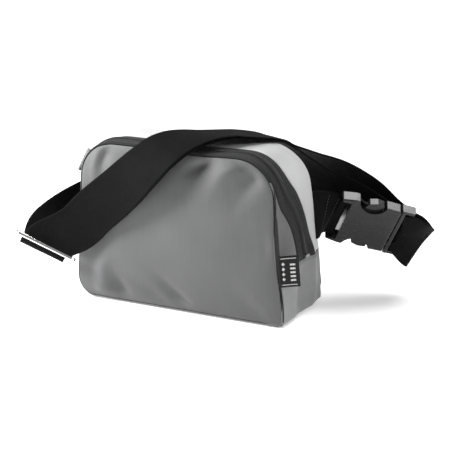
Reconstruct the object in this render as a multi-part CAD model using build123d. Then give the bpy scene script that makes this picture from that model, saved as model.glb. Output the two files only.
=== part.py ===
from build123d import *
import os
from math import acos, asin, atan, atan2, cos, degrees, radians, sin, sqrt, tan

# A belt bag: a zipped D-shaped fabric pouch on 38 mm webbing, with a side-release
# buckle on the right and a metal tri-glide on the left. Millimetres, +Z up.
# The origin is the middle of the flat bottom. -Y is the front, +X the wearer's buckle side.

# --- Pouch ---
WIDTH = 184.0            # across the widest part, low on the sides
SHOULDER_WIDTH = 172.0   # across the top corners
HEIGHT = 129.0
DEPTH = 72.0             # front to back along the bottom
TOP_DEPTH = 56.0         # front to back along the top
MID_BACK_Y = 31.0        # the back panel at half height
TOP_RADIUS = 33.0
BOTTOM_RADIUS = 16.0
SKIN = 1.3               # cloth, foam and lining together
SEAM_Z = 43.0            # where the zip band ends and the bottom gusset begins

FRONT_Y = -DEPTH / 2
TOP_BACK_Y = FRONT_Y + TOP_DEPTH

# --- Zip ---
BAND_WIDTH = 25.0        # visible width of both tapes together
BAND_BEND_TOP_Z = 118.0  # where the band leaves the front on its way down the side
BAND_BEND_RADIUS = 35.5  # its middle line bends back on this radius
BAND_LEAN = 43.0         # the most it leans back, in degrees from upright
BAND_RETURN_RADIUS = 75.5
BAND_FOOT_LEAN = 12.0    # degrees from upright at the bottom
COIL_WIDTH = 2.3
COIL_HEIGHT = 1.6
COIL_GAP = 1.2           # between the two tapes and between the two coils
STOP_Z = (44.0, 46.0)
SLIDER_ANGLE = 30.0      # the slider's place on the left top corner, up from the horizontal

# --- Webbing ---
WEB_WIDTH = 38.0
WEB_THICK = 1.4
LAYER_STEP = 1.8         # between the middles of two layers of webbing

# --- Tri-glide ---
GLIDE_LENGTH = 52.0
GLIDE_DEPTH = 24.0
GLIDE_BAR = 3.0
GLIDE_AT = Vector(-110, -52, 43)
GLIDE_ALONG = Vector(0.77, 0.42, -0.48).normalized()
GLIDE_WEB_SHIFT = 3.0    # the webbing sits towards one end of the slots

# --- Buckle ---
BUCKLE_WIDTH = 49.0
BUCKLE_THICK = 11.0
SOCKET_LENGTH = 40.0
EAR_LENGTH = 8.0
BUCKLE_AT = Vector(104.0, 47, 67.2)
BUCKLE_ALONG = Vector(0.808, 0.524, -0.270).normalized()
BUCKLE_DOWN = Vector(-0.453, 0.31, -0.836)
PIN_RADIUS = 1.6         # the bars that webbing turns round
WRAP_GAP = 0.3
PLUG_GAP = 0.3
PLUG_BAR_X = 48.0

os.makedirs("parts", exist_ok=True)


def save(name, shape):
    export_step(Compound(children=list(shape.solids())) if len(shape.solids()) > 1
                else shape.solids()[0], f"parts/{name}.step")


# --- Outlines ---

def arc(centre, radius, start, end, place):
    """An arc between two angles, in degrees, with place turning two numbers into a point."""
    angles = (start, (start + end) / 2, end)
    return ThreePointArc(*[place(centre[0] + radius * cos(radians(a)),
                                 centre[1] + radius * sin(radians(a))) for a in angles])


def xz(x, z):
    return (x, FRONT_Y - 10, z)


def yz(y, z):
    return (-WIDTH, y, z)


def outline(inset=0.0):
    """The pouch's D shape, seen from the front, as a face well in front of it."""
    low = (WIDTH / 2 - BOTTOM_RADIUS, BOTTOM_RADIUS)
    high = (SHOULDER_WIDTH / 2 - TOP_RADIUS, HEIGHT - TOP_RADIUS)
    run, rise = high[0] - low[0], high[1] - low[1]
    lean = degrees(asin((BOTTOM_RADIUS - TOP_RADIUS) / sqrt(run**2 + rise**2)) + atan(-run / rise))
    rb, rt = BOTTOM_RADIUS - inset, TOP_RADIUS - inset
    mirrored = lambda x, z: xz(-x, z)
    right = [arc(low, rb, -90, lean, xz), arc(high, rt, lean, 90, xz)]
    left = [arc(low, rb, -90, lean, mirrored), arc(high, rt, lean, 90, mirrored)]
    sides = [Line(a @ 1, b @ 0) for a, b in (right, left)]
    ends = [Line(left[0] @ 0, right[0] @ 0), Line(left[1] @ 1, right[1] @ 1)]
    return Face(Wire(right + left + sides + ends))


def tube(outset=0.0, thick=SKIN):
    """The pouch's wall all round, running front to back."""
    length = DEPTH + 40
    outer = extrude(outline(-outset), length, dir=(0, 1, 0))
    return outer - extrude(outline(thick - outset), length, dir=(0, 1, 0))


def across(face):
    return extrude(face, 2 * WIDTH, dir=(1, 0, 0))


def back_circle():
    """Centre and radius of the back panel's gentle curve in side view."""
    (y1, z1), (y2, z2), (y3, z3) = (DEPTH / 2, 0), (MID_BACK_Y, HEIGHT / 2), (TOP_BACK_Y, HEIGHT)
    a = 2 * (y2 - y1), 2 * (z2 - z1), y2**2 + z2**2 - y1**2 - z1**2
    b = 2 * (y3 - y1), 2 * (z3 - z1), y3**2 + z3**2 - y1**2 - z1**2
    det = a[0] * b[1] - b[0] * a[1]
    cy = (a[2] * b[1] - b[2] * a[1]) / det
    cz = (a[0] * b[2] - b[0] * a[2]) / det
    return cy, cz, sqrt((y1 - cy)**2 + (z1 - cz)**2)


def back_edge(out):
    """The back panel's curve, moved out by a distance, from just below to just above the pouch."""
    cy, cz, radius = back_circle()
    point = lambda z: yz(cy + sqrt((radius + out)**2 - (z - cz)**2), z)
    return ThreePointArc(point(-3), point(HEIGHT / 2), point(HEIGHT + 3))


def between(front, back):
    """The solid between two side-view curves, each running upwards."""
    return across(Face(Wire([front, back, Line(front @ 0, back @ 0), Line(front @ 1, back @ 1)])))


def band_edge(offset):
    """A line along the zip band in side view, offset back from the band's middle, from the foot up."""
    middle = FRONT_Y + BAND_WIDTH / 2
    lean, foot_lean = radians(BAND_LEAN), radians(BAND_FOOT_LEAN)
    bend = BAND_BEND_RADIUS - offset
    back = BAND_RETURN_RADIUS + offset
    top = Line(yz(middle + offset, BAND_BEND_TOP_Z), yz(middle + offset, HEIGHT + 5))
    upper = arc((middle + BAND_BEND_RADIUS, BAND_BEND_TOP_Z), bend, 180 + BAND_LEAN, 180, yz)
    knee = upper @ 0
    lower = arc((knee.Y - back * cos(lean), knee.Z - back * sin(lean)), back, BAND_FOOT_LEAN, BAND_LEAN, yz)
    foot = lower @ 0
    drop = foot.Z - SEAM_Z + 8
    straight = Line(foot + Vector(0, drop * tan(foot_lean), -drop), foot)
    return [straight, lower, upper, top]


def band(front, back):
    """The solid between two offsets from the zip band's middle line."""
    a, b = band_edge(front), band_edge(back)
    ends = [Line(a[0] @ 0, b[0] @ 0), Line(a[-1] @ 1, b[-1] @ 1)]
    return across(Face(Wire(a + b + ends)))


def slab(z_low, z_high):
    return Pos(0, 0, (z_low + z_high) / 2) * Box(3 * WIDTH, 3 * DEPTH, z_high - z_low)


# --- Pouch panels ---

def front_panel():
    return Pos(0, 10 - SKIN, 0) * extrude(outline(), SKIN, dir=(0, 1, 0))


def back_panel():
    block = extrude(outline(), DEPTH + 40, dir=(0, 1, 0))
    return block & between(back_edge(0), back_edge(SKIN))


def wall_between(front, back, z_low, z_high):
    region = across(Face(Wire([front, back, Line(front @ 0, back @ 0), Line(front @ 1, back @ 1)])))
    return tube() & region & slab(z_low, z_high)


def front_line(y=FRONT_Y):
    return Line(yz(y, -3), yz(y, HEIGHT + 3))


def bottom_gusset():
    return wall_between(front_line(), back_edge(0), -5, SEAM_Z)


def rear_gusset():
    """The arch behind the zip band, from one bottom seam over the top to the other."""
    edge = band_edge(BAND_WIDTH / 2)
    back = back_edge(0)
    behind = across(Face(Wire(edge + [Line(edge[0] @ 0, yz(3 * DEPTH, SEAM_Z - 8)),
                                      Line(yz(3 * DEPTH, SEAM_Z - 8), yz(3 * DEPTH, HEIGHT + 5)),
                                      Line(yz(3 * DEPTH, HEIGHT + 5), edge[-1] @ 1)])))
    return tube() & behind & between(front_line(), back) & slab(SEAM_Z, HEIGHT + 2)


def side_wedge(side):
    """The narrow cloth wedge between the front panel and the zip band, on one side."""
    edge = band_edge(-BAND_WIDTH / 2)
    corner = yz(FRONT_Y, SEAM_Z - 8)
    region = across(Face(Wire(edge[:-1] + [Line(corner, edge[0] @ 0), Line(edge[-2] @ 1, corner)])))
    half = Pos(side * WIDTH, 0, HEIGHT / 2) * Box(2 * WIDTH, 3 * DEPTH, 3 * HEIGHT)
    return tube() & region & slab(SEAM_Z, BAND_BEND_TOP_Z - 9.5) & half


def binding(front):
    """The tape that binds a seam allowance, inside the pouch."""
    deep = 2.5
    inner = tube(-SKIN, deep)
    if front:
        return inner & between(front_line(), front_line(FRONT_Y + deep))
    return inner & between(back_edge(-deep), back_edge(0))


def side_label():
    """A folded cloth label sewn into the front seam on the buckle side."""
    out, tall, thick = 16.0, 24.0, 1.0
    lean = Vector(SHOULDER_WIDTH - WIDTH, 0, 2 * (HEIGHT - TOP_RADIUS - BOTTOM_RADIUS)).normalized()
    place = Plane(origin=(WIDTH / 2 - 0.9, FRONT_Y + 0.8, 33), x_dir=(0.86, 0.51, 0.064), z_dir=lean)
    return place * block((0.6, out), (-thick / 2, thick / 2), (0, tall))


# --- Zip ---

def zip_tape(side):
    a, b = sorted((side * COIL_GAP / 2, side * BAND_WIDTH / 2))
    return tube() & band(a, b) & slab(SEAM_Z, HEIGHT + 2)


def zip_coil(side):
    a, b = sorted((side * COIL_GAP / 2, side * (COIL_GAP / 2 + COIL_WIDTH)))
    return tube(COIL_HEIGHT, COIL_HEIGHT) & band(a, b) & slab(STOP_Z[1] + 0.3, HEIGHT + 3)


def zip_stop(side):
    """The crimped stop across both coils at one end of the zip."""
    half = Pos(side * WIDTH, 0, HEIGHT / 2) * Box(2 * WIDTH, 3 * DEPTH, 3 * HEIGHT)
    reach = COIL_WIDTH + 0.6
    return tube(2.0, 2.0) & band(-reach, reach) & slab(*STOP_Z) & half


def slider_plane():
    """Where the slider sits: x across the zip, y along it towards the top, z out from the cloth."""
    angle = radians(SLIDER_ANGLE)
    out = Vector(-cos(angle), 0, sin(angle))
    up = Vector(sin(angle), 0, cos(angle))
    corner = Vector(-(SHOULDER_WIDTH / 2 - TOP_RADIUS), FRONT_Y + BAND_WIDTH / 2, HEIGHT - TOP_RADIUS)
    return Plane(origin=corner + out * TOP_RADIUS, x_dir=up.cross(out), z_dir=out)


def block(x, y, z):
    """A box from three pairs of limits."""
    size = [b - a for a, b in (x, y, z)]
    return Pos(*[(a + b) / 2 for a, b in (x, y, z)]) * Box(*size)


PULL_AXIS_Z = 4.3


def zip_slider():
    wide, long, top = 5.0, 4.5, 3.3
    roof = block((-wide, wide), (-long, long), (top - 1.2, top))
    flanges = [block((s * wide - 0.65 * (s > 0), s * wide + 0.65 * (s < 0)), (-long, long), (0.4, top - 1.2))
               for s in (-1, 1)]
    floor = block((-wide, wide), (-long, long), (-SKIN - 1.7, -SKIN - 0.7))
    neck = block((-0.3, 0.3), (2.4, 4.4), (-SKIN - 0.9, top - 1.1))
    posts = [block((-0.9, 0.9), (s * 3.0 - 0.5, s * 3.0 + 0.5), (top, 6.2)) for s in (-1, 1)]
    arch = block((-0.9, 0.9), (-3.5, 3.5), (5.2, 6.2))
    body = roof + flanges[0] + flanges[1] + floor + neck + posts[0] + posts[1] + arch
    return slider_plane() * body


def zip_pull():
    """The pull tab: a cross bar under the slider's arch, two arms and a tapered tab."""
    thick, long = 1.4, 17.0
    half = 3.2
    tab = block((-half, half), (-long + half, 0.2), (-thick / 2, thick / 2))
    tab += Pos(0, -long + half, 0) * Cylinder(half, thick)
    tab -= block((-2, 2), (-5.2, 0.3), (-2, 2))
    tab -= Pos(0, -long + half + 0.4, 0) * Cylinder(1.4, 3)
    tab += Rot(0, 90, 0) * Cylinder(thick / 2, 6)
    return slider_plane() * Pos(0, 0, PULL_AXIS_Z) * tab


# --- Webbing ---

def section(centre, width, normal):
    """The four corners of webbing cut square: across it both ways, and through it both ways."""
    width, normal = Vector(width).normalized(), Vector(normal)
    normal = (normal - width * normal.dot(width)).normalized()
    a, b = width * (WEB_WIDTH / 2), normal * (WEB_THICK / 2)
    centre = Vector(centre)
    return [centre + a + b, centre - a + b, centre - a - b, centre + a - b]


def flat_face(*points):
    return Face(Wire(Polyline(*points, close=True).edges()))


def skin_over(sections):
    """A solid with flat triangular sides through a row of four-cornered sections."""
    faces = [flat_face(*sections[0]), flat_face(*sections[-1])]
    for near, far in zip(sections, sections[1:]):
        for i, j in ((0, 1), (3, 2), (1, 2), (3, 0)):
            faces += [flat_face(near[i], near[j], far[j]), flat_face(near[i], far[j], far[i])]
    return Solid(Shell(faces))


def finer(rows):
    """Rows of numbers with a new one halfway along each span, on a smooth curve through them."""
    add = lambda *pairs: [sum(k * row[i] for k, row in pairs) for i in range(len(rows[0]))]
    out = []
    for i in range(len(rows) - 1):
        out.append(rows[i])
        if i == 0:
            out.append(add((3 / 8, rows[0]), (6 / 8, rows[1]), (-1 / 8, rows[2])))
        elif i == len(rows) - 2:
            out.append(add((-1 / 8, rows[i - 1]), (6 / 8, rows[i]), (3 / 8, rows[i + 1])))
        else:
            out.append(add((-1 / 16, rows[i - 1]), (9 / 16, rows[i]), (9 / 16, rows[i + 1]),
                           (-1 / 16, rows[i + 2])))
    return out + [rows[-1]]


def through(station, before, after):
    """The direction through webbing at a station, from the stations on each side of it."""
    along = Vector(after[0]) - Vector(before[0])
    return along.cross(Vector(station[1])).normalized()


def ribbon(stations, lifts, first, last, divide=1):
    """Flat webbing through (centre, width direction) stations, each moved through its thickness.
    first and last are the through-thickness directions at the two ends."""
    rows = [[*Vector(c), *Vector(w), lift] for (c, w), lift in zip(stations, lifts)]
    for _ in range(divide):
        rows = finer(rows)
    sections = []
    for i, row in enumerate(rows):
        centre, width = Vector(*row[:3]), Vector(*row[3:6])
        if 0 < i < len(rows) - 1:
            along = Vector(*rows[i + 1][:3]) - Vector(*rows[i - 1][:3])
            normal = along.cross(width).normalized()
        else:
            normal = Vector(first if i == 0 else last)
        sections.append(section(centre + normal * row[6], width, normal))
    return skin_over(sections)


def hoop(plane, radius, start, end):
    """Webbing bent round a bar that lies along the plane's z axis."""
    inner, outer = radius, radius + WEB_THICK
    ring = [arc((0, 0), r, start, end, lambda x, y: (x, y, 0)) for r in (inner, outer)]
    face = Face(Wire(ring + [Line(ring[0] @ 0, ring[1] @ 0), Line(ring[0] @ 1, ring[1] @ 1)]))
    return plane * Pos(0, 0, -WEB_WIDTH / 2) * extrude(face, WEB_WIDTH, dir=(0, 0, 1))


# The belt's long run, from the tri-glide over the front and top of the pouch and down behind it.
FRONT_RUN = [
    ((-83, -49, 59), (0.72, 0.26, -0.65)),
    ((-66, -48, 75), (0.68, 0.12, -0.72)),
    ((-49, -48, 89), (0.67, -0.05, -0.74)),
    ((-33, -48, 103), (0.68, -0.22, -0.69)),
    ((-19, -48, 116), (0.72, -0.38, -0.58)),
    ((-7, -43.4, 127.6), (0.75, -0.50, -0.43)),
    ((2, -33.6, 133.9), (0.79, -0.57, -0.24)),
    ((10, -22, 136), (0.80, -0.60, -0.08)),
    ((17, -11, 136), (0.80, -0.61, 0.03)),
]
CROSSING = ((25, 1, 135.2), (0.78, -0.62, 0.07))
BACK_RUN = [
    ((34, 14, 133), (0.77, -0.63, 0.04)),
    ((45, 27, 130), (0.77, -0.63, 0.07)),
    ((50.7, 34.4, 127.0), (0.77, -0.62, 0.10)),
    ((56.5, 41, 121.0), (0.77, -0.60, 0.12)),
    ((67, 51, 112.5), (0.78, -0.54, 0.24)),
    ((77, 61, 104), (0.76, -0.45, 0.40)),
    ((88, 69, 95), (0.72, -0.34, 0.56)),
    ((100, 76, 84.5), (0.68, -0.22, 0.66)),
    ((111, 81, 74), (0.64, -0.11, 0.74)),
    ((123, 84, 61), (0.58, 0.00, 0.80)),
]
BACK_END = ((137, 87, 49), (0.55, 0.10, 0.82))
FOLD = [
    ((144.5, 88.2, 42.5), (0.50, 0.16, 0.85)),
    ((151, 88.6, 37.5), (0.47, 0.16, 0.86)),
    ((149.5, 82.8, 42.5), (0.46, 0.00, 0.86)),
]
# The inner layer leaves the outer one behind the pouch and hangs more nearly upright.
INNER_BACK_RUN = [
    ((67, 49.5, 104), (0.70, -0.42, 0.50)),
    ((77, 57, 91), (0.60, -0.30, 0.70)),
    ((88, 64, 82), (0.50, -0.20, 0.84)),
    ((99, 70, 74), (0.45, -0.10, 0.89)),
    ((110, 75, 66.5), (0.46, -0.04, 0.88)),
    ((122, 79.5, 57.5), (0.50, 0.03, 0.86)),
]
LEFT_RUN = [
    ((-113, -41, 53), (0.66, 0.34, -0.67)),
    ((-109, -25, 60), (0.45, 0.20, -0.87)),
    ((-104, -9, 65), (0.28, 0.10, -0.96)),
    ((-98.5, 9, 69), (0.12, 0.04, -1.0)),
    ((-93, 24, 71), (0.02, 0, -1)),
]
LEFT_ANCHOR = ((-89.8, 31.0, 71.5), (-0.07, 0, -1))
RIGHT_ANCHOR = ((90.0, 30.5, 71.5), (0.07, 0, -1))

GLIDE_UP = Vector(0.29, 0.44, 0.85)
GLIDE_UP = (GLIDE_UP - GLIDE_ALONG * GLIDE_UP.dot(GLIDE_ALONG)).normalized()
GLIDE_NEAR = GLIDE_ALONG.cross(GLIDE_UP)    # from the centre bar to the front bar
BUCKLE_DOWN = (BUCKLE_DOWN - BUCKLE_ALONG * BUCKLE_DOWN.dot(BUCKLE_ALONG)).normalized()
BUCKLE_FACE = BUCKLE_DOWN.cross(BUCKLE_ALONG)
BUCKLE_PLANE = Plane(origin=BUCKLE_AT, x_dir=BUCKLE_ALONG, z_dir=BUCKLE_FACE)
GLIDE_PLANE = Plane(origin=GLIDE_AT, x_dir=GLIDE_ALONG, z_dir=GLIDE_UP)

SEWN_RADIUS = GLIDE_BAR / 2 + WRAP_GAP + WEB_THICK / 2
RUNNING_RADIUS = SEWN_RADIUS + LAYER_STEP - 0.1
LEG_HEIGHT = 3.0
WRAP_RADIUS = PIN_RADIUS + WRAP_GAP + WEB_THICK / 2


def glide_point(near, up):
    """A point beside the tri-glide's centre bar, at the middle of the webbing's width."""
    return GLIDE_AT + GLIDE_ALONG * GLIDE_WEB_SHIFT + GLIDE_NEAR * near + GLIDE_UP * up


def buckle_point(x, z):
    return BUCKLE_AT + BUCKLE_ALONG * x + BUCKLE_FACE * z


def glide_ring_plane():
    """x towards the front bar, y up, z along the centre bar."""
    return Plane(origin=glide_point(0, 0), x_dir=GLIDE_NEAR, z_dir=GLIDE_NEAR.cross(GLIDE_UP))


def leg(near, low, high):
    """A straight stretch of webbing standing up beside the centre bar."""
    return skin_over([section(glide_point(near, h), GLIDE_ALONG, GLIDE_NEAR) for h in (low, high)])


def belt_glide_bight():
    """The running webbing's turn under the tri-glide's centre bar."""
    turn = hoop(glide_ring_plane(), RUNNING_RADIUS - WEB_THICK / 2, 180, 360)
    return turn + leg(RUNNING_RADIUS, 0, LEG_HEIGHT) + leg(-RUNNING_RADIUS, 0, LEG_HEIGHT)


def belt_sewn_end():
    """The inner layer's end, taken round the centre bar and sewn back to itself."""
    turn = hoop(glide_ring_plane(), SEWN_RADIUS - WEB_THICK / 2, 150, 360)
    return turn + leg(SEWN_RADIUS, 0, LEG_HEIGHT)


def belt_layer(lift, radius):
    """One layer from the tri-glide's centre bar to the crossing on top of the pouch."""
    stations = [(glide_point(radius, LEG_HEIGHT), GLIDE_ALONG)] + FRONT_RUN + [CROSSING]
    lifts = [0.0] + [lift] * (len(stations) - 1)
    return ribbon(stations, lifts, -GLIDE_NEAR, through(CROSSING, FRONT_RUN[-1], BACK_RUN[0]))


def back_layer(lift, run):
    """One layer from the crossing to the end of the arc behind the buckle."""
    stations = [CROSSING] + run + [BACK_END]
    first = through(CROSSING, FRONT_RUN[-1], run[0])
    last = through(BACK_END, BACK_RUN[-1], FOLD[0])
    return ribbon(stations, [lift] * len(stations), first, last)


def plug_webbing():
    """The doubled webbing from the arc's end, round the fold and round the plug's bar."""
    upward = -BUCKLE_DOWN
    pieces = []
    for side in (-1, 1):
        spread = [LAYER_STEP / 2] * (len(FOLD) + 1) + [LAYER_STEP / 2 + 1.5, WRAP_RADIUS]
        ends = [(buckle_point(x, 0), upward) for x in (PLUG_BAR_X + 4, PLUG_BAR_X)]
        stations = [BACK_END] + FOLD + ends
        first = through(BACK_END, BACK_RUN[-1], FOLD[0])
        pieces.append(ribbon(stations, [side * s for s in spread], first, -BUCKLE_FACE))
    ring = Plane(origin=buckle_point(PLUG_BAR_X, 0), x_dir=BUCKLE_ALONG, z_dir=upward)
    return pieces[0] + pieces[1] + hoop(ring, WRAP_RADIUS - WEB_THICK / 2, 90, 270)


def belt_short_strap():
    """The short doubled webbing from the right seam round the socket's bar."""
    bar_x = -EAR_LENGTH + 3
    lead = (buckle_point(bar_x - 5, 0), BUCKLE_DOWN)
    end = (buckle_point(bar_x, 0), BUCKLE_DOWN)
    pieces = []
    for side in (-1, 1):
        spread = [side * s for s in (LAYER_STEP / 2, LAYER_STEP / 2 + 1.5, WRAP_RADIUS)]
        pieces.append(ribbon([RIGHT_ANCHOR, lead, end], spread, (-0.75, 0.6, 0), -BUCKLE_FACE, 0))
    ring = Plane(origin=buckle_point(bar_x, 0), x_dir=BUCKLE_ALONG, z_dir=-BUCKLE_DOWN)
    return pieces[0] + pieces[1] + hoop(ring, WRAP_RADIUS - WEB_THICK / 2, -90, 90)


def belt_left_strap():
    """The single webbing from the tri-glide's far slot back to the left seam."""
    start = (glide_point(-RUNNING_RADIUS, LEG_HEIGHT), GLIDE_ALONG)
    stations = [start] + LEFT_RUN + [LEFT_ANCHOR]
    last = through(LEFT_ANCHOR, LEFT_RUN[-1], LEFT_ANCHOR)
    return ribbon(stations, [0.0] * len(stations), -GLIDE_NEAR, last)


# --- Tri-glide ---

def glide_frame():
    """The outer loop: a rounded bar bent to a rectangle."""
    outer = RectangleRounded(GLIDE_LENGTH, GLIDE_DEPTH, 4)
    inner = RectangleRounded(GLIDE_LENGTH - 2 * GLIDE_BAR, GLIDE_DEPTH - 2 * GLIDE_BAR, 1.4)
    loop = extrude(outer - inner, GLIDE_BAR / 2, both=True)
    loop = fillet(loop.edges().filter_by(Plane.XY), 0.9)
    return GLIDE_PLANE * loop


def glide_bar():
    inside = GLIDE_LENGTH - 2 * GLIDE_BAR
    return GLIDE_PLANE * Rot(0, 90, 0) * Cylinder(GLIDE_BAR / 2, inside)


# --- Buckle: x towards the plug, y up across it, z out of the visible face ---

CAVITY_HALF = 21.0
CAVITY_THICK = 7.2
PRONG_PIVOT = (37.4, 16.0)
PRONG_THICK = 6.0


def slab_profile(points, radius, thick):
    """A flat closed outline with rounded corners, made thick both ways."""
    wire = Wire(Polyline(*points, close=True).edges())
    face = Face(wire)
    return extrude(fillet(face.vertices(), radius), thick / 2, both=True)


def buckle_socket():
    half = BUCKLE_WIDTH / 2
    points = [(-EAR_LENGTH, -half + 2), (3, -half), (SOCKET_LENGTH, -half + 1.5),
              (SOCKET_LENGTH, half - 1.5), (3, half), (-EAR_LENGTH, half - 2)]
    body = slab_profile(points, 1.4, BUCKLE_THICK)
    body = fillet(body.edges().filter_by(Plane.XY), 1.6)
    body -= block((-EAR_LENGTH - 1, 0), (-20.5, 20.5), (-BUCKLE_THICK, BUCKLE_THICK))
    body -= block((4, SOCKET_LENGTH + 1), (-CAVITY_HALF, CAVITY_HALF), (-CAVITY_THICK / 2, CAVITY_THICK / 2))
    for side in (-1, 1):
        body -= Pos(17, side * (half + 2), 0) * Cylinder(11.5, 2 * BUCKLE_THICK)
    bar = Pos(-EAR_LENGTH + 3, 0, 0) * Rot(90, 0, 0) * Cylinder(PIN_RADIUS, 41.5)
    return BUCKLE_PLANE * (body + bar)


def buckle_plug():
    start = SOCKET_LENGTH + PLUG_GAP
    flange = fillet(block((start, start + 3.4), (-24, 24), (-5, 5)).edges(), 1.0)
    arms = [block((start + 2, PLUG_BAR_X + 3.4), reach, (-4, 4)) for reach in ((-24, -21.4), (21.4, 24))]
    arms = [fillet(a.edges().filter_by(Axis.Y).group_by(Axis.X)[-1], 1.6) for a in arms]
    bar = Pos(PLUG_BAR_X, 0, 0) * Rot(90, 0, 0) * Cylinder(PIN_RADIUS, 44)
    tongue = block((14, start + 1), (-3.5, 3.5), (-2.6, 2.6))
    tongue = fillet(tongue.edges().filter_by(Axis.Z).group_by(Axis.X)[0], 2.5)
    return BUCKLE_PLANE * (flange + arms[0] + arms[1] + bar + tongue)


def buckle_prong(side):
    """A springy arm with a button head that shows in the socket's side window."""
    x, y = PRONG_PIVOT
    root = Pos(x, y, 0) * Cylinder(2.3, PRONG_THICK)
    arm = slab_profile([(13, y - 2.2), (x, y - 2.2), (x, y + 2.2), (13, y + 2.2)], 0.5, PRONG_THICK)
    head = slab_profile([(10.5, y - 2), (26, y - 1), (26, 23.6), (20, 24.4), (14, 22.5)], 1.0, PRONG_THICK)
    prong = root + arm + head
    return BUCKLE_PLANE * (prong if side > 0 else mirror(prong, about=Plane.XZ))


def build():
    save("front_panel", front_panel())
    save("back_panel", back_panel())
    save("bottom_gusset", bottom_gusset())
    save("rear_gusset", rear_gusset())
    save("side_wedge_left", side_wedge(-1))
    save("side_wedge_right", side_wedge(1))
    save("binding_front", binding(True))
    save("binding_back", binding(False))
    save("side_label", side_label())
    save("zip_tape_front", zip_tape(-1))
    save("zip_tape_rear", zip_tape(1))
    save("zip_coil_front", zip_coil(-1))
    save("zip_coil_rear", zip_coil(1))
    save("zip_stop_left", zip_stop(-1))
    save("zip_stop_right", zip_stop(1))
    save("zip_slider", zip_slider())
    save("zip_pull", zip_pull())
    save("triglide_frame", glide_frame())
    save("triglide_bar", glide_bar())
    save("buckle_socket", buckle_socket())
    save("buckle_plug", buckle_plug())
    save("prong_upper", buckle_prong(1))
    save("prong_lower", buckle_prong(-1))
    save("belt_left_strap", belt_left_strap())
    save("belt_glide_bight", belt_glide_bight())
    save("belt_sewn_end", belt_sewn_end())
    half = LAYER_STEP / 2
    save("belt_front_outer", belt_layer(-half, RUNNING_RADIUS))
    save("belt_front_inner", belt_layer(half, SEWN_RADIUS))
    save("belt_back_outer", back_layer(-half, BACK_RUN))
    save("belt_back_inner", back_layer(half + 0.4, BACK_RUN[:4] + INNER_BACK_RUN))
    save("plug_webbing", plug_webbing())
    save("belt_short_strap", belt_short_strap())


build()
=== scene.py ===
"""The look of a grey belt bag with a black webbing belt, a side-release buckle and a tri-glide."""
import math

import bpy
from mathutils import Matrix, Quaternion, Vector, noise


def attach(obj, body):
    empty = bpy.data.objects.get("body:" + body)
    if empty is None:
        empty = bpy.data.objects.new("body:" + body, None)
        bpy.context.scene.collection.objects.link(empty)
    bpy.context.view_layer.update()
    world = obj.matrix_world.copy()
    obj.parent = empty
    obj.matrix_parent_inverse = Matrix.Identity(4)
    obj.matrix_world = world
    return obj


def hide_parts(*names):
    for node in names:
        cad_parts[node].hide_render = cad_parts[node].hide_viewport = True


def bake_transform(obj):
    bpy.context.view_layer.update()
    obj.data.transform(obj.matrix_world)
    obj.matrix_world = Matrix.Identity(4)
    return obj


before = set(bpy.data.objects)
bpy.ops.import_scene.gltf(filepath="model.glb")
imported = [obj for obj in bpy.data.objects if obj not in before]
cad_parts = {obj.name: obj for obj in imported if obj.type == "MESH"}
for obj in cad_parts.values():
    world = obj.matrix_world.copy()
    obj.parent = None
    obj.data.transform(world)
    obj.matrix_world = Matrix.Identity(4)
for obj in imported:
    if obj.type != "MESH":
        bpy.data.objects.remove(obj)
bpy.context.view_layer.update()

MM = 0.001

# The pouch, in millimetres
WIDTH, SHOULDER_WIDTH, HEIGHT = 184.0, 172.0, 129.0
DEPTH, TOP_DEPTH, MID_BACK_Y = 72.0, 56.0, 31.0
TOP_RADIUS, BOTTOM_RADIUS = 33.0, 16.0
FRONT_Y = -DEPTH / 2
SEAM_Z = 43.0
BAND_WIDTH, BAND_BEND_TOP_Z, BAND_BEND_RADIUS, BAND_LEAN = 25.0, 118.0, 35.5, math.radians(43)
BAND_RETURN_RADIUS, BAND_FOOT_LEAN = 75.5, math.radians(12)
SEAM_SINK = 1.1             # how far a seam lies below the cloth beside it
SEAM_ROLL = 3.4             # how far from the seam the cloth begins to turn in
CLOTH_THICK = 1.0
UNDERSIDE = -0.9            # a wall whose direction points down more than this is the underside
PANEL_RIM = 24.0            # how far in from the seam a panel follows the walls' bulge
ALL_SEWN = (True, True, True, True)
WEDGE_TOP_Z = 112.0         # where the side wedges run out, between the panel and the zip

# The zip, in millimetres
ZIP_GAP = 0.6               # from the band's middle to the edge of each tape
TAPE_LIFT = 0.25            # how far the tapes stand above the pouch's plain surface
ZIP_RIBS = ((5.6, 0.32), (8.2, 0.22))
COIL_PITCH, COIL_WIRE, COIL_ENDS = 1.5, 0.42, 3.5

# The belt
WEB_HALF, WEB_THICK, LAYER_STEP = 19.0, 1.4, 1.8
WEB_BACK = 3 * WEB_HALF     # the middle of the webbing's back face in its map, beside the front face
TUBE_SIDES = 6              # how many sides threads, seam lines and zip teeth have


# --- Materials ---

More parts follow.
